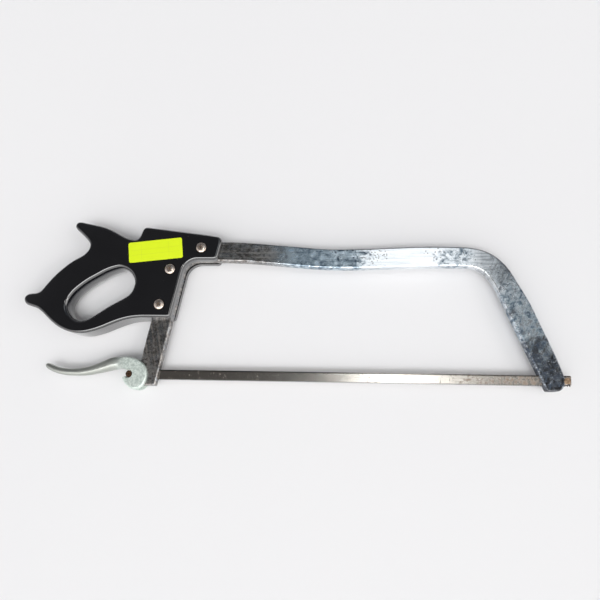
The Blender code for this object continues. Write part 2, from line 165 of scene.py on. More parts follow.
HUB = [
    (-59.6, 11.4), (-56.8, 13.6), (-51.5, 14.5), (-43.4, 13.3), (-34.2, 9.5),
    (-28.0, 3.8), (-25.0, -4.4), (-25.5, -12.9), (-29.2, -20.4), (-34.6, -24.2),
    (-40.0, -25.1), (-45.4, -23.0), (-50.3, -18.7), (-53.5, -14.6), (-54.7, -11.0),
    (-56.0, -6.0), (-57.6, -0.4), (-60.0, 3.0), (-61.2, 7.4),
]
# Along the finger arm: x, y of the middle, half its depth, half its thickness.
ARM = [
    (-50.5, 7.2, 6.2, 8.9), (-60.0, 7.8, 7.3, 8.9), (-70.0, 6.3, 7.6, 8.3),
    (-80.0, 2.9, 6.8, 7.3), (-90.0, -0.3, 5.9, 6.4), (-100.0, -2.8, 5.2, 5.8),
    (-110.0, -4.2, 4.7, 5.4), (-120.0, -4.6, 4.4, 5.2), (-130.0, -4.1, 4.2, 5.0),
    (-140.0, -2.3, 4.0, 4.8), (-147.5, 0.6, 3.9, 4.5), (-151.0, 2.3, 3.7, 4.1),
    (-153.4, 3.6, 3.0, 3.3), (-154.9, 4.4, 1.9, 2.1), (-155.6, 4.8, 0.8, 0.9),
]


# ---------------------------------------------------------------- outlines

def arc(x, y, r, start, end, steps):
    """Points on a circle between two angles in degrees."""
    found = []
    for i in range(steps + 1):
        a = math.radians(start + (end - start) * i / steps)
        found.append((x + r * math.cos(a), y + r * math.sin(a)))
    return found


def anticlockwise(loop):
    """The loop, turned round if it runs clockwise."""
    total = 0.0
    for (x0, y0), (x1, y1) in zip(loop, loop[1:] + loop[:1]):
        total += x0 * y1 - x1 * y0
    return loop if total > 0 else loop[::-1]


def curve_point(p0, p1, p2, p3, t):
    """A centripetal Catmull-Rom curve between p1 and p2."""
    knots = [0.0]
    for a, b in ((p0, p1), (p1, p2), (p2, p3)):
        knots.append(knots[-1] + max((b - a).length, 1e-6) ** 0.5)
    k0, k1, k2, k3 = knots
    u = k1 + (k2 - k1) * t
    a1 = p0 * ((k1 - u) / (k1 - k0)) + p1 * ((u - k0) / (k1 - k0))
    a2 = p1 * ((k2 - u) / (k2 - k1)) + p2 * ((u - k1) / (k2 - k1))
    a3 = p2 * ((k3 - u) / (k3 - k2)) + p3 * ((u - k2) / (k3 - k2))
    b1 = a1 * ((k2 - u) / (k2 - k0)) + a2 * ((u - k0) / (k2 - k0))
    b2 = a2 * ((k3 - u) / (k3 - k1)) + a3 * ((u - k1) / (k3 - k1))
    return b1 * ((k2 - u) / (k2 - k1)) + b2 * ((u - k1) / (k2 - k1))


def turn_at(p0, p1, p2):
    """How sharply the way bends at p1, in radians."""
    a, b = p1 - p0, p2 - p1
    if a.length < 1e-9 or b.length < 1e-9:
        return 0.0
    return abs(a.angle(b))


def smooth_span(pts, i, step, found):
    """Adds the curve from point i to the next, cut finer where it turns."""
    count = len(pts)
    p0, p1 = pts[i - 1], pts[i]
    p2, p3 = pts[(i + 1) % count], pts[(i + 2) % count]
    pieces = 1
    if turn_at(p0, p1, p2) + turn_at(p1, p2, p3) > 0.02:
        pieces = max(1, round((p2 - p1).length / step))
    for k in range(pieces):
        q = curve_point(p0, p1, p2, p3, k / pieces)
        found.append((q.x, q.y))


def smooth_loop(points, step):
    pts = [Vector(p) for p in points]
    found = []
    for i in range(len(pts)):
        smooth_span(pts, i, step, found)
    return anticlockwise(found)


def smooth_run(points, step):
    """An open curve from the second point to the last but one; the end points only steer it."""
    pts = [Vector(p) for p in points]
    found = []
    for i in range(1, len(pts) - 2):
        smooth_span(pts, i, step, found)
    found.append(tuple(pts[-2]))
    return found


def grown(loop, distance):
    """The loop moved outwards by a distance, or inwards by a negative one."""
    found = []
    count = len(loop)
    for i in range(count):
        a, b, c = Vector(loop[i - 1]), Vector(loop[i]), Vector(loop[(i + 1) % count])
        d0, d1 = (b - a).normalized(), (c - b).normalized()
        n0, n1 = Vector((d0.y, -d0.x)), Vector((d1.y, -d1.x))
        mid = (n0 + n1).normalized()
        reach = distance / max(mid.dot(n0), 0.6)
        found.append((b.x + mid.x * reach, b.y + mid.y * reach))
    return found


def level(loop, z):
    """The loop laid flat at height z."""
    return [(x, y, z) for x, y in loop]


# ---------------------------------------------------------------- meshes

def stack_mesh(rings):
    """A closed mesh from rings of equal length, lowest first, with flat ends."""
    mesh = bmesh.new()
    rows = []
    for ring in rings:
        rows.append([mesh.verts.new(p) for p in ring])
    count = len(rings[0])
    for low, high in zip(rows, rows[1:]):
        for i in range(count):
            j = (i + 1) % count
            mesh.faces.new((low[i], low[j], high[j], high[i]))
    mesh.faces.new(rows[0][::-1])
    mesh.faces.new(rows[-1])
    return mesh


def eased_rings(loop, low, high, at_low, at_high, steps):
    """Rings of a plate whose outline moves out at its faces; each ease is how wide and how deep it is."""
    rings = []
    for i in range(steps + 1):
        a = math.pi / 2 * i / steps
        outline = grown(loop, at_low[0] * (1 - math.sin(a)))
        rings.append(level(outline, low + at_low[1] * (1 - math.cos(a))))
    for i in range(steps + 1):
        a = math.pi / 2 * (1 - i / steps)
        outline = grown(loop, at_high[0] * (1 - math.sin(a)))
        rings.append(level(outline, high - at_high[1] * (1 - math.cos(a))))
    return rings


def plate_rings(loop, low, high, r, steps):
    """Rings of a plate whose two outer edges are rounded by r."""
    return eased_rings(loop, low, high, (-r, r), (-r, r), steps)


def flared_rings(loop, low, high, far, near, steps):
    """Rings of a cutter that flares at both faces and runs past them."""
    past = 2.0
    below = level(grown(loop, far[0] + past), low - past)
    above = level(grown(loop, near[0] + past), high + past)
    return [below] + eased_rings(loop, low, high, far, near, steps) + [above]


def prism(loop, low, high):
    """A straight solid with the loop as its outline."""
    outline = anticlockwise(loop)
    return stack_mesh([level(outline, low), level(outline, high)])


def turned(x, y, profile, sides):
    """A solid of revolution about a vertical axis; profile is (radius, z), lowest first."""
    rings = []
    for r, z in profile:
        ring = []
        for i in range(sides):
            a = 2 * math.pi * i / sides
            ring.append((x + r * math.cos(a), y + r * math.sin(a), z))
        rings.append(ring)
    return stack_mesh(rings)


def place(name, mesh):
    """Turns a millimetre mesh of the layout into an object in metres, where the CAD has it."""
    shift = Vector((CENTRE_X, CENTRE_Y, 0.0))
    for v in mesh.verts:
        v.co = (v.co - shift) * MM
    bmesh.ops.recalc_face_normals(mesh, faces=mesh.faces)
    data = bpy.data.meshes.new(name)
    mesh.to_mesh(data)
    mesh.free()
    obj = bpy.data.objects.new(name, data)
    bpy.context.scene.collection.objects.link(obj)
    return obj


def bake(obj):
    """Applies the object's modifiers to its mesh."""
    bpy.context.view_layer.update()
    graph = bpy.context.evaluated_depsgraph_get()
    data = bpy.data.meshes.new_from_object(obj.evaluated_get(graph))
    obj.modifiers.clear()
    old = obj.data
    obj.data = data
    bpy.data.meshes.remove(old)
    data.name = obj.name


def combine(obj, others, operation):
    """Joins the others to the object or cuts them from it, and removes them."""
    for other in others:
        step = obj.modifiers.new(operation.lower(), "BOOLEAN")
        step.operation = operation
        step.solver = "EXACT"
        step.object = other
    bake(obj)
    for other in others:
        bpy.data.objects.remove(other, do_unlink=True)


def finish_piece(obj, body, nodes, material, angle=32.0):
    """Smooth shading with crisp edges, one material, a place on its body and the CAD nodes it stands for."""
    obj.data.shade_smooth()
    obj.data.set_sharp_from_angle(angle=math.radians(angle))
    even = obj.modifiers.new("even_normals", "WEIGHTED_NORMAL")
    even.keep_sharp = True
    obj.data.materials.clear()
    obj.data.materials.append(material)
    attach(obj, body)
    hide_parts(*nodes)


# ---------------------------------------------------------------- materials

class Graph:
    """Short calls for building a node tree."""

    def __init__(self, tree):
        self.tree = tree

    def add(self, kind, **settings):
        node = self.tree.nodes.new(kind)
        for key, value in settings.items():
            setattr(node, key, value)
        return node

    def put(self, socket, value):
        if isinstance(value, bpy.types.NodeSocket):
            self.tree.links.new(value, socket)
        else:
            socket.default_value = value

    def math(self, operation, a, b=0.0):
        node = self.add("ShaderNodeMath", operation=operation)
        self.put(node.inputs[0], a)
        self.put(node.inputs[1], b)
        return node.outputs[0]

    def times(self, a, b):
        return self.math("MULTIPLY", a, b)

    def plus(self, a, b):
        return self.math("ADD", a, b)

    def larger(self, a, b):
        return self.math("MAXIMUM", a, b)

    def ramp(self, value, low, high, to_low=0.0, to_high=1.0):
        """A smooth step from to_low to to_high as the value goes from low to high."""
        node = self.add("ShaderNodeMapRange", interpolation_type="SMOOTHSTEP")
        self.put(node.inputs["Value"], value)
        node.inputs["From Min"].default_value = low
        node.inputs["From Max"].default_value = high
        node.inputs["To Min"].default_value = to_low
        node.inputs["To Max"].default_value = to_high
        return node.outputs["Result"]

    def between(self, share, a, b):
        """A number between two others."""
        node = self.add("ShaderNodeMix", data_type="FLOAT")
        for index, value in ((0, share), (2, a), (3, b)):
            self.put(node.inputs[index], value)
        return node.outputs[0]

    def mix(self, share, a, b, kind="MIX"):
        """A colour between two others."""
        node = self.add("ShaderNodeMix", data_type="RGBA", blend_type=kind)
        self.put(node.inputs[0], share)
        for socket, value in ((node.inputs[6], a), (node.inputs[7], b)):
            self.put(socket, value if isinstance(value, bpy.types.NodeSocket) else (*value, 1.0))
        return node.outputs[2]

    def parts(self, vector):
        """The sockets of a vector's X, Y and Z."""
        node = self.add("ShaderNodeSeparateXYZ")
        self.put(node.inputs[0], vector)
        return [node.outputs[name] for name in "XYZ"]


class Finish(Graph):
    """Short calls for building one material."""

    def __init__(self, name):
        self.material = bpy.data.materials.new(name)
        self.material.use_nodes = True
        super().__init__(self.material.node_tree)
        self.shader = self.tree.nodes["Principled BSDF"]
        self.coords = self.add("ShaderNodeTexCoord").outputs["Object"]

    def spot(self, scale=(1.0, 1.0, 1.0), turn=0.0, shift=(0.0, 0.0, 0.0)):
        """Object coordinates turned about Z, then stretched."""
        source = self.coords
        if turn:
            spin = self.add("ShaderNodeVectorRotate", rotation_type="Z_AXIS")
            self.put(spin.inputs["Vector"], source)
            spin.inputs["Angle"].default_value = turn
            source = spin.outputs[0]
        move = self.add("ShaderNodeMapping")
        self.put(move.inputs["Vector"], source)
        move.inputs["Scale"].default_value = scale
        move.inputs["Location"].default_value = shift
        return move.outputs[0]

    def noise(self, scale, detail, rough, vector=None, distort=0.0):
        node = self.add("ShaderNodeTexNoise")
        self.put(node.inputs["Vector"], vector or self.coords)
        node.inputs["Scale"].default_value = scale
        node.inputs["Detail"].default_value = detail
        node.inputs["Roughness"].default_value = rough
        node.inputs["Distortion"].default_value = distort
        return node.outputs["Fac"]

    def cells(self, scale):
        """The distance to the nearest of many scattered points."""
        node = self.add("ShaderNodeTexVoronoi")
        self.put(node.inputs["Vector"], self.coords)
        node.inputs["Scale"].default_value = scale
        return node.outputs["Distance"]

    def bump(self, height, strength, distance, under=None):
        node = self.add("ShaderNodeBump")
        self.put(node.inputs["Height"], height)
        node.inputs["Strength"].default_value = strength
        node.inputs["Distance"].default_value = distance
        if under is not None:
            self.put(node.inputs["Normal"], under)
        return node.outputs[0]

    def finish(self, color, roughness, normal, metallic, **fixed):
        """Joins everything to the shader; fixed holds numbers for its other sockets."""
        self.put(self.shader.inputs["Base Color"], color)
        self.put(self.shader.inputs["Roughness"], roughness)
        self.put(self.shader.inputs["Metallic"], metallic)
        self.put(self.shader.inputs["Normal"], normal)
        for key, value in fixed.items():
            self.shader.inputs[key].default_value = value
        return self.material


def layout_x(x):
    """A layout x as the object coordinate that materials see; layout_y does the same for y."""
    return (x - CENTRE_X) * MM


def layout_y(y):
    return (y - CENTRE_Y) * MM


def along(n, x, start, full, stop=None, gone=None):
    """Rises from 0 to 1 between two places along the saw, and falls again from stop to gone."""
    share = n.ramp(x, layout_x(start), layout_x(full))
    if gone is None:
        return share
    return n.times(share, n.ramp(x, layout_x(gone), layout_x(stop)))


def bar_streaks(n, on_front, on_rear):
    """Fine streaks that run along the bar: its back, its rear leg and its front leg."""
    on_back = n.noise(1.0, 7.0, 0.66, n.spot((20.0, 480.0, 20.0)))
    rear_leg = n.noise(1.0, 6.0, 0.6, n.spot((480.0, 24.0, 24.0), -LEAN))
    front_leg = n.noise(1.0, 6.0, 0.6, n.spot((480.0, 30.0, 30.0), FRONT_LEAN))
    return n.between(on_rear, n.between(on_front, on_back, front_leg), rear_leg)


def plated_bar_material():
    """Bright plating, streaked along the bar, with tarnish, dark flecks, pits, worn brown areas and painted
    shade on the sides facing the back.
    """
    n = Finish("bright_plating")
    x, y, _ = n.parts(n.coords)

    # where: each share is 1 inside its zone
    on_front = along(n, x, 368.0, 394.0)
    on_rear = along(n, x, 40.0, 14.0)
    handle_end = along(n, x, 158.0, 108.0)
    cloudy = along(n, x, 96.0, 140.0, 205.0, 285.0)
    flecked = along(n, x, 172.0, 200.0, 228.0, 250.0)
    blotch = along(n, x, 284.0, 330.0, 346.0, 380.0)
    low_leg = n.times(on_front, n.ramp(y, layout_y(70.0), layout_y(5.0)))
    at_bend = n.times(along(n, x, 352.0, 372.0, 396.0, 410.0), n.ramp(y, layout_y(100.0), layout_y(114.0)))
    foot = n.times(n.ramp(y, layout_y(-12.5), layout_y(-17.5), 0.0, 0.8), on_front)

    # what: patterns from coarse to fine
    streaks = bar_streaks(n, on_front, on_rear)
    broad = n.noise(24.0, 3.0, 0.5)
    tone = n.noise(36.0, 6.0, 0.64, n.spot(shift=(0.2, 0.7, 0.0)), 0.7)
    patch = n.noise(120.0, 7.0, 0.66, distort=0.5)
    blot = n.noise(230.0, 6.0, 0.68, n.spot((0.7, 1.0, 1.0), shift=(0.3, 0.1, 0.0)), 0.8)
    fine = n.noise(700.0, 5.0, 0.62)
    grain = n.plus(n.times(streaks, 0.62), n.times(blot, 0.5))

    # clouds of blue tarnish over the pale plating
    pale = n.mix(n.ramp(streaks, 0.36, 0.64), (0.70, 0.75, 0.79), (0.92, 0.95, 0.98))
    murk = n.plus(n.times(patch, 0.55), n.times(grain, 0.6))
    murk = n.plus(murk, n.times(tone, 0.25))
    blue = n.mix(n.ramp(murk, 0.62, 0.86), (0.62, 0.74, 0.82), (0.13, 0.18, 0.235))
    amount = n.larger(cloudy, n.times(blotch, 0.78))
    amount = n.larger(amount, n.times(on_front, 0.85))
    cloud = n.plus(n.times(patch, 0.7), n.times(grain, 0.6))
    cloud = n.ramp(n.plus(cloud, n.times(amount, 0.42)), 0.92, 1.12)
    color = n.mix(cloud, pale, blue)

    # worn brown next to the handle, with pale scuffs
    brown = n.mix(n.ramp(grain, 0.47, 0.72), (0.075, 0.066, 0.062), (0.56, 0.53, 0.50))
    rear_share = n.times(handle_end, n.ramp(n.plus(patch, streaks), 0.74, 1.10, 0.55, 1.0))
    color = n.mix(rear_share, color, brown)
    scuff = n.times(n.ramp(blot, 0.60, 0.70), n.larger(handle_end, low_leg))
    color = n.mix(n.times(scuff, 0.7), color, (0.62, 0.62, 0.64))

    # dark mottling down the front leg, with glints
    reach = n.plus(tone, n.times(low_leg, 0.26))
    leg_dark = n.times(on_front, n.ramp(reach, 0.50, 0.67, 0.0, 0.95))
    leg_dark = n.times(leg_dark, n.ramp(blot, 0.36, 0.52, 0.55, 1.0))
    color = n.mix(leg_dark, color, n.mix(fine, (0.035, 0.045, 0.065), (0.13, 0.145, 0.175)))
    glints = n.times(n.ramp(n.noise(420.0, 4.0, 0.65), 0.57, 0.64), low_leg)
    color = n.mix(n.times(glints, 0.7), color, (0.50, 0.54, 0.60))
    bend = n.times(at_bend, n.ramp(streaks, 0.3, 0.6, 0.85, 0.35))
    color = n.mix(bend, color, (0.26, 0.27, 0.28))
    color = n.mix(foot, color, (0.09, 0.09, 0.095))

    # dark flecks, painted shade on the surfaces that face the back, and pits
    flecks = n.larger(flecked, n.times(on_front, 0.75))
    flecks = n.times(n.ramp(blot, 0.555, 0.62), flecks)
    flecks = n.larger(flecks, n.times(n.ramp(blot, 0.60, 0.66), n.times(cloudy, 0.8)))
    color = n.mix(n.times(flecks, 0.88), color, (0.05, 0.075, 0.11))
    # painted shade: surfaces facing the back, such as the bar's outer top edge, are darkened
    facing_back = n.parts(n.add("ShaderNodeNewGeometry").outputs["Normal"])[1]
    back_side_painted_shade = n.ramp(facing_back, 0.30, 0.75, 0.0, 0.8)
    color = n.mix(back_side_painted_shade, color, n.mix(fine, (0.05, 0.055, 0.065), (0.14, 0.145, 0.15)))
    pit_field = n.ramp(n.noise(30.0, 2.0, 0.5, n.spot(shift=(3.1, 0.4, 0.0))), 0.50, 0.60)
    pits = n.times(n.ramp(n.cells(300.0), 0.24, 0.12), pit_field)
    color = n.mix(n.times(pits, 0.9), color, (0.06, 0.06, 0.07))

    stained = n.larger(cloud, rear_share)
    rough = n.plus(n.ramp(stained, 0.0, 1.0, 0.10, 0.30), n.times(fine, 0.07))
    rough = n.plus(rough, n.times(flecks, 0.12))
    wave = n.bump(broad, 0.5, 0.0006)
    wave = n.bump(n.times(patch, on_front), 0.5, 0.0002, wave)
    wave = n.bump(patch, 0.5, 0.00016, wave)
    wave = n.bump(streaks, 0.35, 0.00006, wave)
    wave = n.bump(flecks, 0.6, -0.00010, wave)
    wave = n.bump(pits, 0.8, -0.00022, wave)
    wave = n.bump(fine, 0.25, 0.00004, wave)
    return n.finish(color, rough, wave, 1.0)


def handle_material():
    """Gloss black moulding with faint scuffs and specks of dust."""
    n = Finish("gloss_black_plastic")
    broad = n.noise(18.0, 3.0, 0.5)
    scuff = n.noise(1.0, 5.0, 0.65, n.spot((60.0, 900.0, 60.0), 0.5))
    grain = n.noise(900.0, 3.0, 0.5)
    dust = n.times(n.ramp(n.cells(170.0), 0.07, 0.03), n.ramp(n.noise(40.0, 2.0, 0.5), 0.54, 0.62))
    color = n.mix(broad, (0.0035, 0.004, 0.0055), (0.008, 0.0085, 0.0105))
    color = n.mix(n.times(n.ramp(scuff, 0.62, 0.75), 0.25), color, (0.022, 0.023, 0.027))
    color = n.mix(n.times(dust, 0.6), color, (0.10, 0.098, 0.095))
    rough = n.plus(n.ramp(broad, 0.3, 0.7, 0.10, 0.15), n.times(n.ramp(scuff, 0.55, 0.8), 0.14))
    bump = n.bump(broad, 0.35, 0.0009)
    bump = n.bump(grain, 0.12, 0.00002, bump)
    bump = n.bump(scuff, 0.12, 0.00002, bump)
    coat = {"Coat Weight": 1.0, "Coat Roughness": 0.04, "Coat IOR": 1.9}
    return n.finish(color, rough, bump, 0.0, IOR=1.55, **coat)


def screw_material():
    """Worn nickel gone warm, with painted shade in dark brown low on the head: its edge, the foot of the
    dome and the recess floor.
    """
    n = Finish("worn_nickel")
    patch = n.noise(520.0, 5.0, 0.6)
    fine = n.noise(2600.0, 3.0, 0.5)
    color = n.mix(n.ramp(patch, 0.38, 0.62), (0.62, 0.50, 0.41), (0.93, 0.84, 0.77))
    # painted shade: dark brown below a height, on the head's edge, the foot of the dome and the recess floor
    height = n.ramp(n.parts(n.coords)[2], (HANDLE_T + 0.3) * MM, (HANDLE_T + 0.75) * MM)
    color = n.mix(height, n.mix(fine, (0.20, 0.14, 0.10), (0.36, 0.27, 0.20)), color)
    rough = n.ramp(patch, 0.3, 0.7, 0.34, 0.22)
    bump = n.bump(patch, 0.3, 0.00008)
    bump = n.bump(fine, 0.2, 0.00002, bump)
    return n.finish(color, rough, bump, 1.0)


def blade_material():
    """Dull rolled steel, browner to the rear, dark at its back edge and tooth tips, with specks of rust."""
    n = Finish("blade_steel")
    x, y, _ = n.parts(n.coords)
    roll = n.noise(1.0, 6.0, 0.62, n.spot((16.0, 700.0, 16.0)))
    patch = n.noise(150.0, 6.0, 0.66, distort=0.4)
    fine = n.noise(900.0, 4.0, 0.6)
    color = n.mix(roll, (0.56, 0.52, 0.47), (0.86, 0.84, 0.80))
    rear = along(n, x, 230.0, 70.0)
    color = n.mix(n.times(rear, 0.6), color, n.mix(roll, (0.42, 0.38, 0.33), (0.66, 0.62, 0.57)))
    nose = n.ramp(x, layout_x(290.0), layout_x(400.0), 0.0, 0.12)
    speck = n.noise(330.0, 5.0, 0.66)
    rust = n.plus(n.times(speck, 0.7), n.times(patch, 0.35))
    rust = n.ramp(n.plus(rust, nose), 0.60, 0.70)
    color = n.mix(n.times(rust, 0.75), color, n.mix(fine, (0.15, 0.09, 0.06), (0.36, 0.25, 0.17)))
    back = n.ramp(y, layout_y(-1.9), layout_y(-1.1))
    color = n.mix(n.times(back, 0.85), color, (0.045, 0.04, 0.038))
    tooth = n.ramp(y, layout_y(-10.7), layout_y(-11.4))
    color = n.mix(n.times(tooth, 0.8), color, (0.10, 0.09, 0.08))
    rough = n.ramp(rust, 0.0, 1.0, 0.2, 0.55)
    bump = n.bump(roll, 0.35, 0.00004)
    bump = n.bump(patch, 0.35, 0.00015, bump)
    bump = n.bump(fine, 0.25, 0.00004, bump)
    return n.finish(color, rough, bump, 1.0)


def pin_material(name, dark, light):
    """Browned steel, mottled in patches."""
    n = Finish(name)
    patch = n.noise(420.0, 5.0, 0.62)
    fine = n.noise(1800.0, 3.0, 0.55)
    color = n.mix(n.ramp(patch, 0.36, 0.64), dark, light)
    rough = n.ramp(patch, 0.3, 0.7, 0.55, 0.34)
    bump = n.bump(patch, 0.4, 0.0002)
    bump = n.bump(fine, 0.3, 0.00005, bump)
    return n.finish(color, rough, bump, 0.9)


def lever_material():
    """Satin casting: pale and mottled on the hub, smoother and darker along the finger arm."""
    n = Finish("satin_casting")
    x = n.parts(n.coords)[0]
    patch = n.noise(170.0, 6.0, 0.6, distort=0.3)
    broad = n.noise(45.0, 3.0, 0.5)
    grain = n.noise(1500.0, 3.0, 0.55)
    hub = along(n, x, -74.0, -50.0)
    color = n.mix(broad, (0.37, 0.385, 0.355), (0.50, 0.52, 0.485))
    mottle = n.noise(420.0, 5.0, 0.62)
    mottled = n.mix(n.ramp(mottle, 0.38, 0.62), (0.50, 0.585, 0.54), (0.76, 0.84, 0.79))
    color = n.mix(n.times(hub, 0.9), color, mottled)
    specks = n.ramp(n.cells(420.0), 0.2, 0.1)
    specks = n.times(specks, n.ramp(patch, 0.5, 0.6))
    color = n.mix(n.times(specks, 0.5), color, (0.20, 0.21, 0.18))
    rough = n.ramp(patch, 0.3, 0.7, 0.30, 0.42)
    bump = n.bump(patch, 0.35, 0.0003)
    bump = n.bump(grain, 0.3, 0.00006, bump)
    return n.finish(color, rough, bump, n.ramp(hub, 0.0, 1.0, 0.85, 0.35))


def label_material():
    """Bright yellow paper with faint ruled lines and no print."""
    n = Finish("yellow_paper")
    fibre = n.noise(2200.0, 4.0, 0.6)
    soft = n.noise(60.0, 3.0, 0.5)
    spin = n.add("ShaderNodeMapping", vector_type="TEXTURE")
    n.put(spin.inputs["Vector"], n.coords)
    spin.inputs["Location"].default_value = (layout_x(LABEL_X), layout_y(LABEL_Y), 0.0)
    spin.inputs["Rotation"].default_value = (0.0, 0.0, LABEL_TURN)
    u, v, _ = n.parts(spin.outputs[0])
    lines = None
    for source, at in ((v, 0.0026), (v, -0.0036), (u, -0.0175), (u, 0.0165)):
        off = n.math("ABSOLUTE", n.math("SUBTRACT", source, at))
        line = n.ramp(off, 0.00028, 0.00012)
        lines = line if lines is None else n.larger(lines, line)
    inside_u = n.ramp(n.math("ABSOLUTE", u), 0.0300, 0.0296)
    inside_v = n.ramp(n.math("ABSOLUTE", v), 0.0098, 0.0094)
    inside = n.times(inside_u, inside_v)
    lines = n.times(lines, inside)
    color = n.mix(soft, (0.64, 0.80, 0.003), (0.71, 0.87, 0.006))
    color = n.mix(n.times(fibre, 0.12), color, (0.60, 0.72, 0.01))
    color = n.mix(n.times(lines, 0.22), color, (0.35, 0.42, 0.05))
    bump = n.bump(fibre, 0.2, 0.00004)
    bump = n.bump(soft, 0.4, 0.0003, bump)
    return n.finish(color, 0.62, bump, 0.0)


def floor_material():
    """Plain and nearly white, with a trace of grain."""
    n = Finish("pale_floor")
    broad = n.noise(1.3, 3.0, 0.5)
    grain = n.noise(260.0, 3.0, 0.5)
    color = n.mix(broad, (0.785, 0.785, 0.80), (0.82, 0.82, 0.83))
    color = n.mix(n.times(grain, 0.05), color, (0.72, 0.72, 0.72))
    return n.finish(color, 0.7, n.bump(grain, 0.05, 0.0002), 0.0)


# ---------------------------------------------------------------- pieces

def leg_x(foot_x, y):
    """A long edge of the rear leg at height y."""
    return foot_x + (y - LEG_FOOT_Y) * math.tan(LEAN)


def bar_loop():
    """The bar's outline: up the rear leg, round the bend, over the back and home along the inside."""
    lean = math.degrees(LEAN)
    corner_y = LEG_FOOT_Y + FOOT_CORNER
    middle_y = 40.0
    rear = [(LEG_LEFT_X + 0.8, LEG_FOOT_Y), (LEG_LEFT_X + 0.2, corner_y)]
    rear += [(leg_x(LEG_LEFT_X, middle_y), middle_y)]
    outer = arc(BEND_X, BEND_Y, BEND_OUT, 180 - lean, 90, 26)
    inner = arc(BEND_X, BEND_Y, BEND_IN, 90, 180 - lean, 18)
    home = [(leg_x(LEG_RIGHT_X, middle_y), middle_y)]
    home += [(LEG_RIGHT_X + 0.1, corner_y), (LEG_RIGHT_X - 0.7, LEG_FOOT_Y)]
    curved = smooth_run(outer[-2:] + BAR_BACK + BAR_INSIDE + inner[:2], 2.5)
    return anticlockwise(rear + outer[:-1] + curved + inner[1:] + home)


def build_bar(material):
    """The bar, slotted in both feet for the blade and bored for the screws and the front pin."""
    obj = place("plated_bar", stack_mesh(plate_rings(bar_loop(), FRAME_LOW, FRAME_HIGH, BAR_EDGE_R, 6)))
    slot_low = MID_Z - BLADE_T / 2 - GAP
    slot_high = MID_Z + BLADE_T / 2 + GAP
    cutters = []
    slot_foot, slot_top = -30.0, 0.6
    for x0, x1 in ((-60.0, 5.0), (415.0, 475.0)):
        loop = [(x0, slot_foot), (x1, slot_foot), (x1, slot_top), (x0, slot_top)]
        cutters.append(place("slot", prism(loop, slot_low, slot_high)))
    through = 30.0
    for x, y in SCREWS.values():
        cutters.append(place("hole", turned(x, y, [(BARREL_R + GAP, 0.0), (BARREL_R + GAP, through)], 32)))
    notch = [(PIN_R + GAP, 0.0), (PIN_R + GAP, through)]
    cutters.append(place("notch", turned(FRONT_PIN_X, PIN_Y, notch, 48)))
    combine(obj, cutters, "DIFFERENCE")
    finish_piece(obj, "saw_frame", ["frame"], material)


def handle_loop():
    """The handle's outline: its foot, round the bend, the front end, the top, and the horn and tail."""
    lean = math.degrees(LEAN)
    edge = 1.0
    inner = arc(BEND_X, BEND_Y, BEND_IN - edge, 180 - lean, 90, 16)
    corner_r = 4.0
    corner_x = leg_x(LEG_RIGHT_X, HANDLE_FOOT_Y) + edge
    low = arc(corner_x - corner_r, HANDLE_FOOT_Y + corner_r, corner_r, -90, -lean + 4, 8)
    end = [(48.0, 133.2), (51.5, 133.3), (54.6, 134.6), (56.2, 137.6), (58.2, 146.0)]
    top = [(60.0, 154.6), (59.4, 158.8), (56.4, 161.6), (52.0, 162.7), (10.0, 168.6)]
    back = [(-28.5, 173.9), (-32.4, 174.4), (-35.8, 173.8)]
    return smooth_loop(low + inner + end + top + back + HORN, 1.8)


def slot_loop():
    """The pocket for the bar: open along the inner edge, at the foot and at the front."""
    lean = math.degrees(LEAN)
    outer = arc(BEND_X, BEND_Y, BEND_OUT + GAP, 180 - lean, 90, 26)
    foot = [(leg_x(LEG_LEFT_X, 30.0) - GAP, 30.0)]
    top = [(60.0, 158.6 + GAP), (80.0, 158.2 + GAP)]
    return foot + outer + top + [(80.0, 100.0), (30.0, 30.0)]


def build_handle(material):
    """The moulding with its grip opening, the pocket for the bar and a bore for each screw."""
    obj = place("moulded_handle", stack_mesh(plate_rings(handle_loop(), 0.0, HANDLE_T, HANDLE_EDGE_R, 8)))
    waist = grown(smooth_loop(GRIP, 1.8), GRIP_WAIST)
    grip = flared_rings(waist, 0.0, HANDLE_T, GRIP_FAR, GRIP_NEAR, 12)
    cutters = [place("grip", stack_mesh(grip))]
    cutters.append(place("pocket", prism(slot_loop(), FRAME_LOW - GAP, FRAME_HIGH + GAP)))
    for x, y in SCREWS.values():
        seat_r, barrel_r = HEAD_R + 0.4, BARREL_R + GAP
        bore = [(HEAD_R + 0.9, -1.0), (seat_r, 0.5), (seat_r, 2.0), (barrel_r, 2.0)]
        bore += [(barrel_r, HANDLE_T - 1.0), (seat_r, HANDLE_T - 1.0)]
        bore += [(seat_r, HANDLE_T - 0.4), (HEAD_R + 1.2, HANDLE_T + 0.5)]
        cutters.append(place("bore", turned(x, y, bore, 48)))
    combine(obj, cutters, "DIFFERENCE")
    finish_piece(obj, "saw_frame", ["handle"], material)


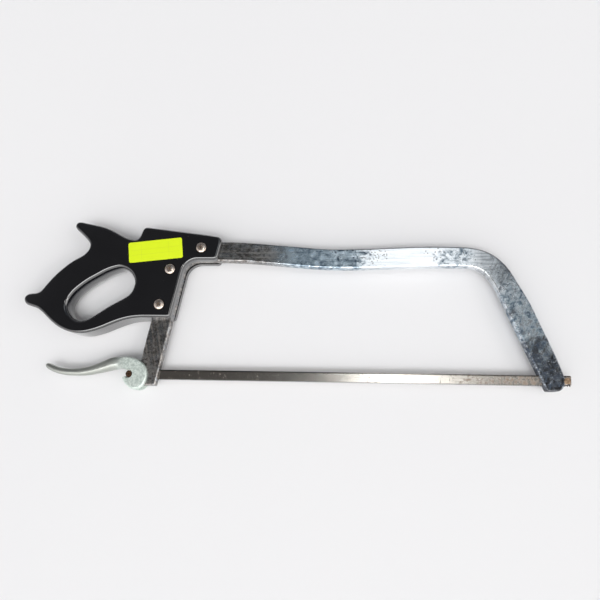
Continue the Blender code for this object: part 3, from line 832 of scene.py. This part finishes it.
def build_screw(where, x, y, material):
    """A domed head with a cross recess, on a plain shank."""
    under = HANDLE_T - 0.7
    rim_r, rim_z = HEAD_R - 0.12, under + 0.86
    profile = [(2.0, 8.0), (SHANK_R, 8.6), (SHANK_R, under), (HEAD_R - 0.15, under)]
    profile += [(HEAD_R, under + 0.15), (HEAD_R, under + 0.62), (rim_r, rim_z)]
    for i in range(1, 9):
        a = math.pi / 2 * i / 9
        profile.append((rim_r * math.cos(a), rim_z + DOME * math.sin(a)))
    obj = place("screw_" + where, turned(x, y, profile, 64))
    cutters = []
    turn = math.radians(24 + 31 * len("handle_screw_" + where))
    cross = [(-2.5, -0.35), (-1.9, -0.5), (1.9, -0.5), (2.5, -0.35)]
    cross += [(-u, -v) for u, v in cross]
    for k in range(2):
        bar = []
        for u, v in cross:
            a = turn + k * math.pi / 2
            bar.append((x + u * math.cos(a) - v * math.sin(a), y + u * math.sin(a) + v * math.cos(a)))
        cutters.append(place("recess", prism(bar, under + 1.1, under + 6.0)))
    combine(obj, cutters, "DIFFERENCE")
    finish_piece(obj, "saw_frame", ["handle_screw_" + where], material)


def build_nut(where, x, y, material):
    """A flanged sleeve nut in the far face of the handle, with a coin slot."""
    flange = 1.6
    profile = [(HEAD_R - 0.7, 0.2), (HEAD_R - 0.25, 0.36), (HEAD_R, 0.75), (HEAD_R, flange)]
    profile += [(BARREL_R, flange), (BARREL_R, 24.0)]
    obj = place("nut_" + where, turned(x, y, profile, 64))
    bore = place("bore", turned(x, y, [(2.8, 6.0), (2.8, 30.0)], 40))
    coin = [(x - 9, y - 0.7), (x + 9, y - 0.7), (x + 9, y + 0.7), (x - 9, y + 0.7)]
    slot = place("slot", prism(coin, -1.0, 1.0))
    combine(obj, [bore, slot], "DIFFERENCE")
    finish_piece(obj, "saw_frame", ["sleeve_nut_" + where], material)


def blade_side(mesh, z, tips):
    """One flat side of the blade: its rows of points along the back and the teeth."""
    root = -BLADE_W + TOOTH_DEPTH
    back, roots, points = [], [], []
    for i in range(TEETH + 1):
        x = TEETH_FROM + i * TOOTH_PITCH
        back.append(mesh.verts.new((x, 0.0, z)))
        roots.append(mesh.verts.new((x, root, z)))
        if i < TEETH:
            points.append(mesh.verts.new((x + 0.72 * TOOTH_PITCH, -BLADE_W, z + tips[i])))
    rear = [mesh.verts.new((x, y, z)) for x, y in arc(REAR_PIN_X, PIN_Y, BLADE_W / 2, 90, 270, 28)]
    heel = mesh.verts.new((TEETH_FROM - 1.2, -BLADE_W, z))
    nose = [(BLADE_FRONT, root), (BLADE_FRONT, -1.0), (BLADE_FRONT - 1.0, 0.0)]
    nose = [mesh.verts.new((x, y, z)) for x, y in nose]
    faces = [[back[0]] + rear + [heel, roots[0]], [roots[-1]] + nose + [back[-1]]]
    for i in range(TEETH):
        faces.append([roots[i], roots[i + 1], back[i + 1], back[i]])
        faces.append([roots[i], points[i], roots[i + 1]])
    edge = rear + [heel]
    for i in range(TEETH):
        edge += [roots[i], points[i]]
    return faces, edge + [roots[-1]] + nose + back[::-1]


def build_blade(material):
    """The strip with its teeth bent left and right in turn."""
    mesh = bmesh.new()
    low, high = MID_Z - BLADE_T / 2, MID_Z + BLADE_T / 2
    tips = []
    for i in range(TEETH):
        tips.append(TOOTH_SET if i % 2 else -TOOTH_SET)
    lower, lower_edge = blade_side(mesh, low, tips)
    upper, upper_edge = blade_side(mesh, high, tips)
    for face in lower:
        mesh.faces.new(face[::-1])
    for face in upper:
        mesh.faces.new(face)
    count = len(lower_edge)
    for i in range(count):
        j = (i + 1) % count
        mesh.faces.new((lower_edge[i], lower_edge[j], upper_edge[j], upper_edge[i]))
    obj = place("toothed_blade", mesh)
    eyes = []
    for x in (REAR_PIN_X, FRONT_PIN_X):
        eyes.append(place("eye", turned(x, PIN_Y, [(PIN_R + 0.3, low - 3), (PIN_R + 0.3, high + 3)], 40)))
    combine(obj, eyes, "DIFFERENCE")
    finish_piece(obj, "blade_unit", ["blade"], material, 20.0)


def build_pin(name, node, x, low, high, material):
    """A cross pin with rounded ends."""
    profile = []
    for i in range(5):
        a = math.pi / 2 * i / 4
        profile.append((PIN_R - PIN_EDGE_R * (1 - math.sin(a)), low + PIN_EDGE_R * (1 - math.cos(a))))
    for r, z in profile[::-1]:
        profile.append((r, low + high - z))
    obj = place(name, turned(x, PIN_Y, profile, 48))
    finish_piece(obj, "blade_unit", [node], material, 40.0)


def arm_mesh():
    """The finger arm: rounded sections along its curve."""
    points = [Vector(p) for p in ARM]
    path = [points[0]]
    for i in range(len(points) - 1):
        p0, p3 = points[max(i - 1, 0)], points[min(i + 2, len(points) - 1)]
        p1, p2 = points[i], points[i + 1]
        for k in range(1, 5):
            t = k / 4
            pull = (p1 * 2 + (p2 - p0) * t + (p0 * 2 - p1 * 5 + p2 * 4 - p3) * t * t)
            path.append((pull + (p1 * 3 - p0 - p2 * 3 + p3) * t * t * t) * 0.5)
    rings = []
    sides = 32
    for i, (x, y, depth, thick) in enumerate(path):
        before, after = path[max(i - 1, 0)], path[min(i + 1, len(path) - 1)]
        run = Vector((after[0] - before[0], after[1] - before[1])).normalized()
        ring = []
        for k in range(sides):
            a = 2 * math.pi * k / sides
            c, s = math.cos(a), math.sin(a)
            u = depth * math.copysign(abs(c) ** 0.85, c)
            v = thick * math.copysign(abs(s) ** 0.85, s)
            ring.append((x - run.y * u, y + run.x * u, MID_Z + v))
        rings.append(ring)
    return stack_mesh(rings)


def cam_radius(angle):
    """The cam inside the fork, in degrees about the pin; it falls away as the lever opens."""
    away = math.radians(-math.degrees(LEAN) - angle)
    share = min(max(away / CAM_TURN, 0.0), 1.0)
    return CAM_R - CAM_LIFT * share


def fork_loop():
    """The room between the hub's cheeks, round the outside of the cam."""
    loop = arc(REAR_PIN_X, PIN_Y, 34.0, 72, -165, 40)
    angle = -165.0
    while angle <= 72.0:
        r = cam_radius(angle)
        a = math.radians(angle)
        loop.append((REAR_PIN_X + r * math.cos(a), PIN_Y + r * math.sin(a)))
        angle += 4.0
    return loop


def throat_loop():
    """The hook's mouth: round about the pin and open to the rear."""
    loop = arc(REAR_PIN_X, PIN_Y, THROAT_R, 216, 476, 40)
    mouth = [(-53.2, -0.5), (-58.6, 0.9), (-63.0, -2.4), (-72.0, -9.0), (-72.0, -14.0), (-58.0, -12.7)]
    return loop + mouth


def build_lever(material):
    """A casting: hub and arm joined, remeshed and softened, then cut for the leg, the blade and the pin."""
    hub = smooth_loop(HUB, 1.6)
    obj = place("cast_lever", stack_mesh(plate_rings(hub, LEVER_LOW, LEVER_HIGH, HUB_EDGE_R, 5)))
    combine(obj, [place("arm", arm_mesh())], "UNION")
    cast = obj.modifiers.new("cast", "REMESH")
    cast.mode = "VOXEL"
    cast.voxel_size = CAST_VOXEL * MM
    soften = obj.modifiers.new("soften", "SMOOTH")
    soften.factor = 0.5
    soften.iterations = CAST_SOFTENING
    bake(obj)
    fork = place("fork", prism(fork_loop(), FRAME_LOW - GAP, FRAME_HIGH + GAP))
    throat = place("throat", prism(throat_loop(), -2.0, 30.0))
    half = BLADE_T / 2 + GAP
    kerf_r = 9.4
    kerf = place("kerf", turned(REAR_PIN_X, PIN_Y, [(kerf_r, MID_Z - half), (kerf_r, MID_Z + half)], 64))
    combine(obj, [fork, throat, kerf], "DIFFERENCE")
    finish_piece(obj, "lever", ["cam_lever"], material, 38.0)


def build_label(material):
    """A thin rounded rectangle with a slightly raised rim."""
    loop = []
    for sx, sy, start in ((1, 1, 0), (-1, 1, 90), (-1, -1, 180), (1, -1, 270)):
        x, y = sx * (LABEL_W / 2 - LABEL_CORNER_R), sy * (LABEL_H / 2 - LABEL_CORNER_R)
        loop += arc(x, y, LABEL_CORNER_R, start, start + 90, 8)
    c, s = math.cos(LABEL_TURN), math.sin(LABEL_TURN)
    low = HANDLE_T + LABEL_GAP
    top = low + LABEL_T

    def ring(share, z):
        return [(LABEL_X + (x * c - y * s) * share, LABEL_Y + (x * s + y * c) * share, z) for x, y in loop]

    rings = [ring(0.2, low), ring(0.9, low), ring(1.0, low + 0.03), ring(1.0, top)]
    rings += [ring(0.94, top - 0.03), ring(0.8, top - 0.05), ring(0.2, top - 0.04)]
    obj = place("paper_label", stack_mesh(rings))
    finish_piece(obj, "saw_frame", ["lot_label"], material, 30.0)


# ---------------------------------------------------------------- stage, light and camera

FLOOR_HALF = 6.0
FLOOR_DROP = 0.0004


def build_floor(material):
    """A broad sheet just under the saw."""
    mesh = bmesh.new()
    bmesh.ops.create_grid(mesh, x_segments=8, y_segments=8, size=FLOOR_HALF)
    data = bpy.data.meshes.new("floor")
    mesh.to_mesh(data)
    mesh.free()
    obj = bpy.data.objects.new("floor", data)
    bpy.context.scene.collection.objects.link(obj)
    obj.location = (0.0, 0.0, CAD_LOW.z - FLOOR_DROP)
    data.materials.append(material)


def sky_blob(g, slopes, middle, radii, core):
    """1 inside the core of a soft oval overhead, falling to 0 at its edge; angles are in degrees."""
    squares = []
    for slope, at, radius in zip(slopes, middle, radii):
        off = g.math("SUBTRACT", slope, math.tan(math.radians(at)))
        share = g.math("DIVIDE", off, math.tan(math.radians(radius)))
        squares.append(g.times(share, share))
    return g.ramp(g.plus(*squares), core, 1.0, 1.0, 0.0)


SKY_DARK = (0.050, 0.047, 0.045)
SKY_BLOBS = [
    # middle (x, y in degrees from straight up), radii, core share, colour, strength
    ((9.0, 20.0), (9.0, 11.0), 0.45, (1.0, 1.0, 1.0), 1.3),
    ((15.0, 22.0), (14.0, 18.0), 0.0, (0.88, 0.95, 1.0), 0.62),
    ((-2.0, 24.0), (7.0, 16.0), 0.5, (0.62, 0.80, 0.95), 0.52),
    ((7.5, 4.0), (6.0, 7.0), 0.0, (1.0, 1.0, 0.98), 6.5),
    ((16.0, 5.0), (9.0, 6.0), 0.0, (1.0, 0.95, 0.88), 0.6),
    ((0.0, -30.0), (44.0, 22.0), 0.4, (1.0, 1.0, 1.0), 4.6),
]

# A small bright lamp at the right and near side, in degrees from straight up.
LAMP_AT = (52.0, -30.0)
LAMP_RADII = (9.0, 9.0)
LAMP_CORE = 0.3
LAMP_GLOW = (20.0, 19.6, 19.0)

# The walls all round.
WALL_LEFT = (0.85, 0.84, 0.86)
WALL_RIGHT = (2.1, 2.07, 2.04)
WALL_NEAR = (1.25, 1.23, 1.21)
WALL_FAR = (0.12, 0.12, 0.13)
WALL_RIM = (0.86, 0.86, 0.88)


def build_sky():
    """A soft studio: pale walls, a dark far side, and a dark ceiling with soft lights in it."""
    world = bpy.data.worlds.new("studio")
    bpy.context.scene.world = world
    world.use_nodes = True
    world.node_tree.nodes.clear()
    g = Graph(world.node_tree)
    x, y, z = g.parts(g.add("ShaderNodeTexCoord").outputs["Generated"])
    up = g.larger(z, 0.02)
    slopes = [g.math("DIVIDE", x, up), g.math("DIVIDE", y, up)]

    ceiling = SKY_DARK
    for middle, radii, core, tint, strength in SKY_BLOBS:
        glow = tuple(c * strength for c in tint)
        ceiling = g.mix(sky_blob(g, slopes, middle, radii, core), ceiling, glow, "LIGHTEN")

    walls = g.mix(g.ramp(x, -0.9, 0.7), WALL_LEFT, WALL_RIGHT)
    walls = g.mix(g.ramp(y, -0.1, -0.75), walls, WALL_NEAR)
    walls = g.mix(g.ramp(y, 0.0, 0.42), walls, WALL_FAR)
    walls = g.mix(g.ramp(z, 0.02, 0.22), WALL_RIM, walls)
    color = g.mix(g.ramp(z, 0.68, 0.82), walls, ceiling)
    color = g.mix(sky_blob(g, slopes, LAMP_AT, LAMP_RADII, LAMP_CORE), color, LAMP_GLOW, "LIGHTEN")
    back = g.add("ShaderNodeBackground")
    g.put(back.inputs["Color"], color)
    out = g.add("ShaderNodeOutputWorld")
    g.put(out.inputs["Surface"], back.outputs[0])


CAMERA_AT = (0.0572, -0.1469, 0.5641)
CAMERA_TURN = [math.radians(angle) for angle in (6.18, 4.06, 1.39)]
CAMERA_LENS = 28.2
CAMERA_SHIFT = 2.0 / 15.0


def build_camera():
    """Above the saw, a little to the near side, looking almost straight down."""
    data = bpy.data.cameras.new("camera")
    data.sensor_width = 36.0
    data.lens = CAMERA_LENS
    data.shift_y = CAMERA_SHIFT
    data.clip_start = 0.01
    obj = bpy.data.objects.new("camera", data)
    bpy.context.scene.collection.objects.link(obj)
    obj.matrix_world = Matrix.LocRotScale(Vector(CAMERA_AT), Euler(CAMERA_TURN), None)
    bpy.context.scene.camera = obj


def build_stage():
    """Floor, light and camera, with colours shown as they are."""
    build_floor(floor_material())
    build_sky()
    build_camera()
    view = bpy.context.scene.view_settings
    view.view_transform = "Standard"
    view.look = "None"
    view.exposure = 0.0


def build_saw():
    """Every piece, each in place of its CAD node."""
    build_bar(plated_bar_material())
    build_handle(handle_material())
    screw = screw_material()
    nut = pin_material("nut_nickel", (0.30, 0.25, 0.21), (0.70, 0.62, 0.54))
    for where, (x, y) in SCREWS.items():
        build_screw(where, x, y, screw)
        build_nut(where, x, y, nut)
    build_blade(blade_material())
    rear = pin_material("browned_steel", (0.035, 0.022, 0.016), (0.16, 0.085, 0.05))
    front = pin_material("bronzed_steel", (0.20, 0.13, 0.08), (0.50, 0.36, 0.24))
    build_pin("rear_pin", "rear_blade_pin", REAR_PIN_X, *REAR_PIN_Z, rear)
    build_pin("front_pin", "front_blade_pin", FRONT_PIN_X, *FRONT_PIN_Z, front)
    build_lever(lever_material())
    build_label(label_material())


build_stage()
build_saw()
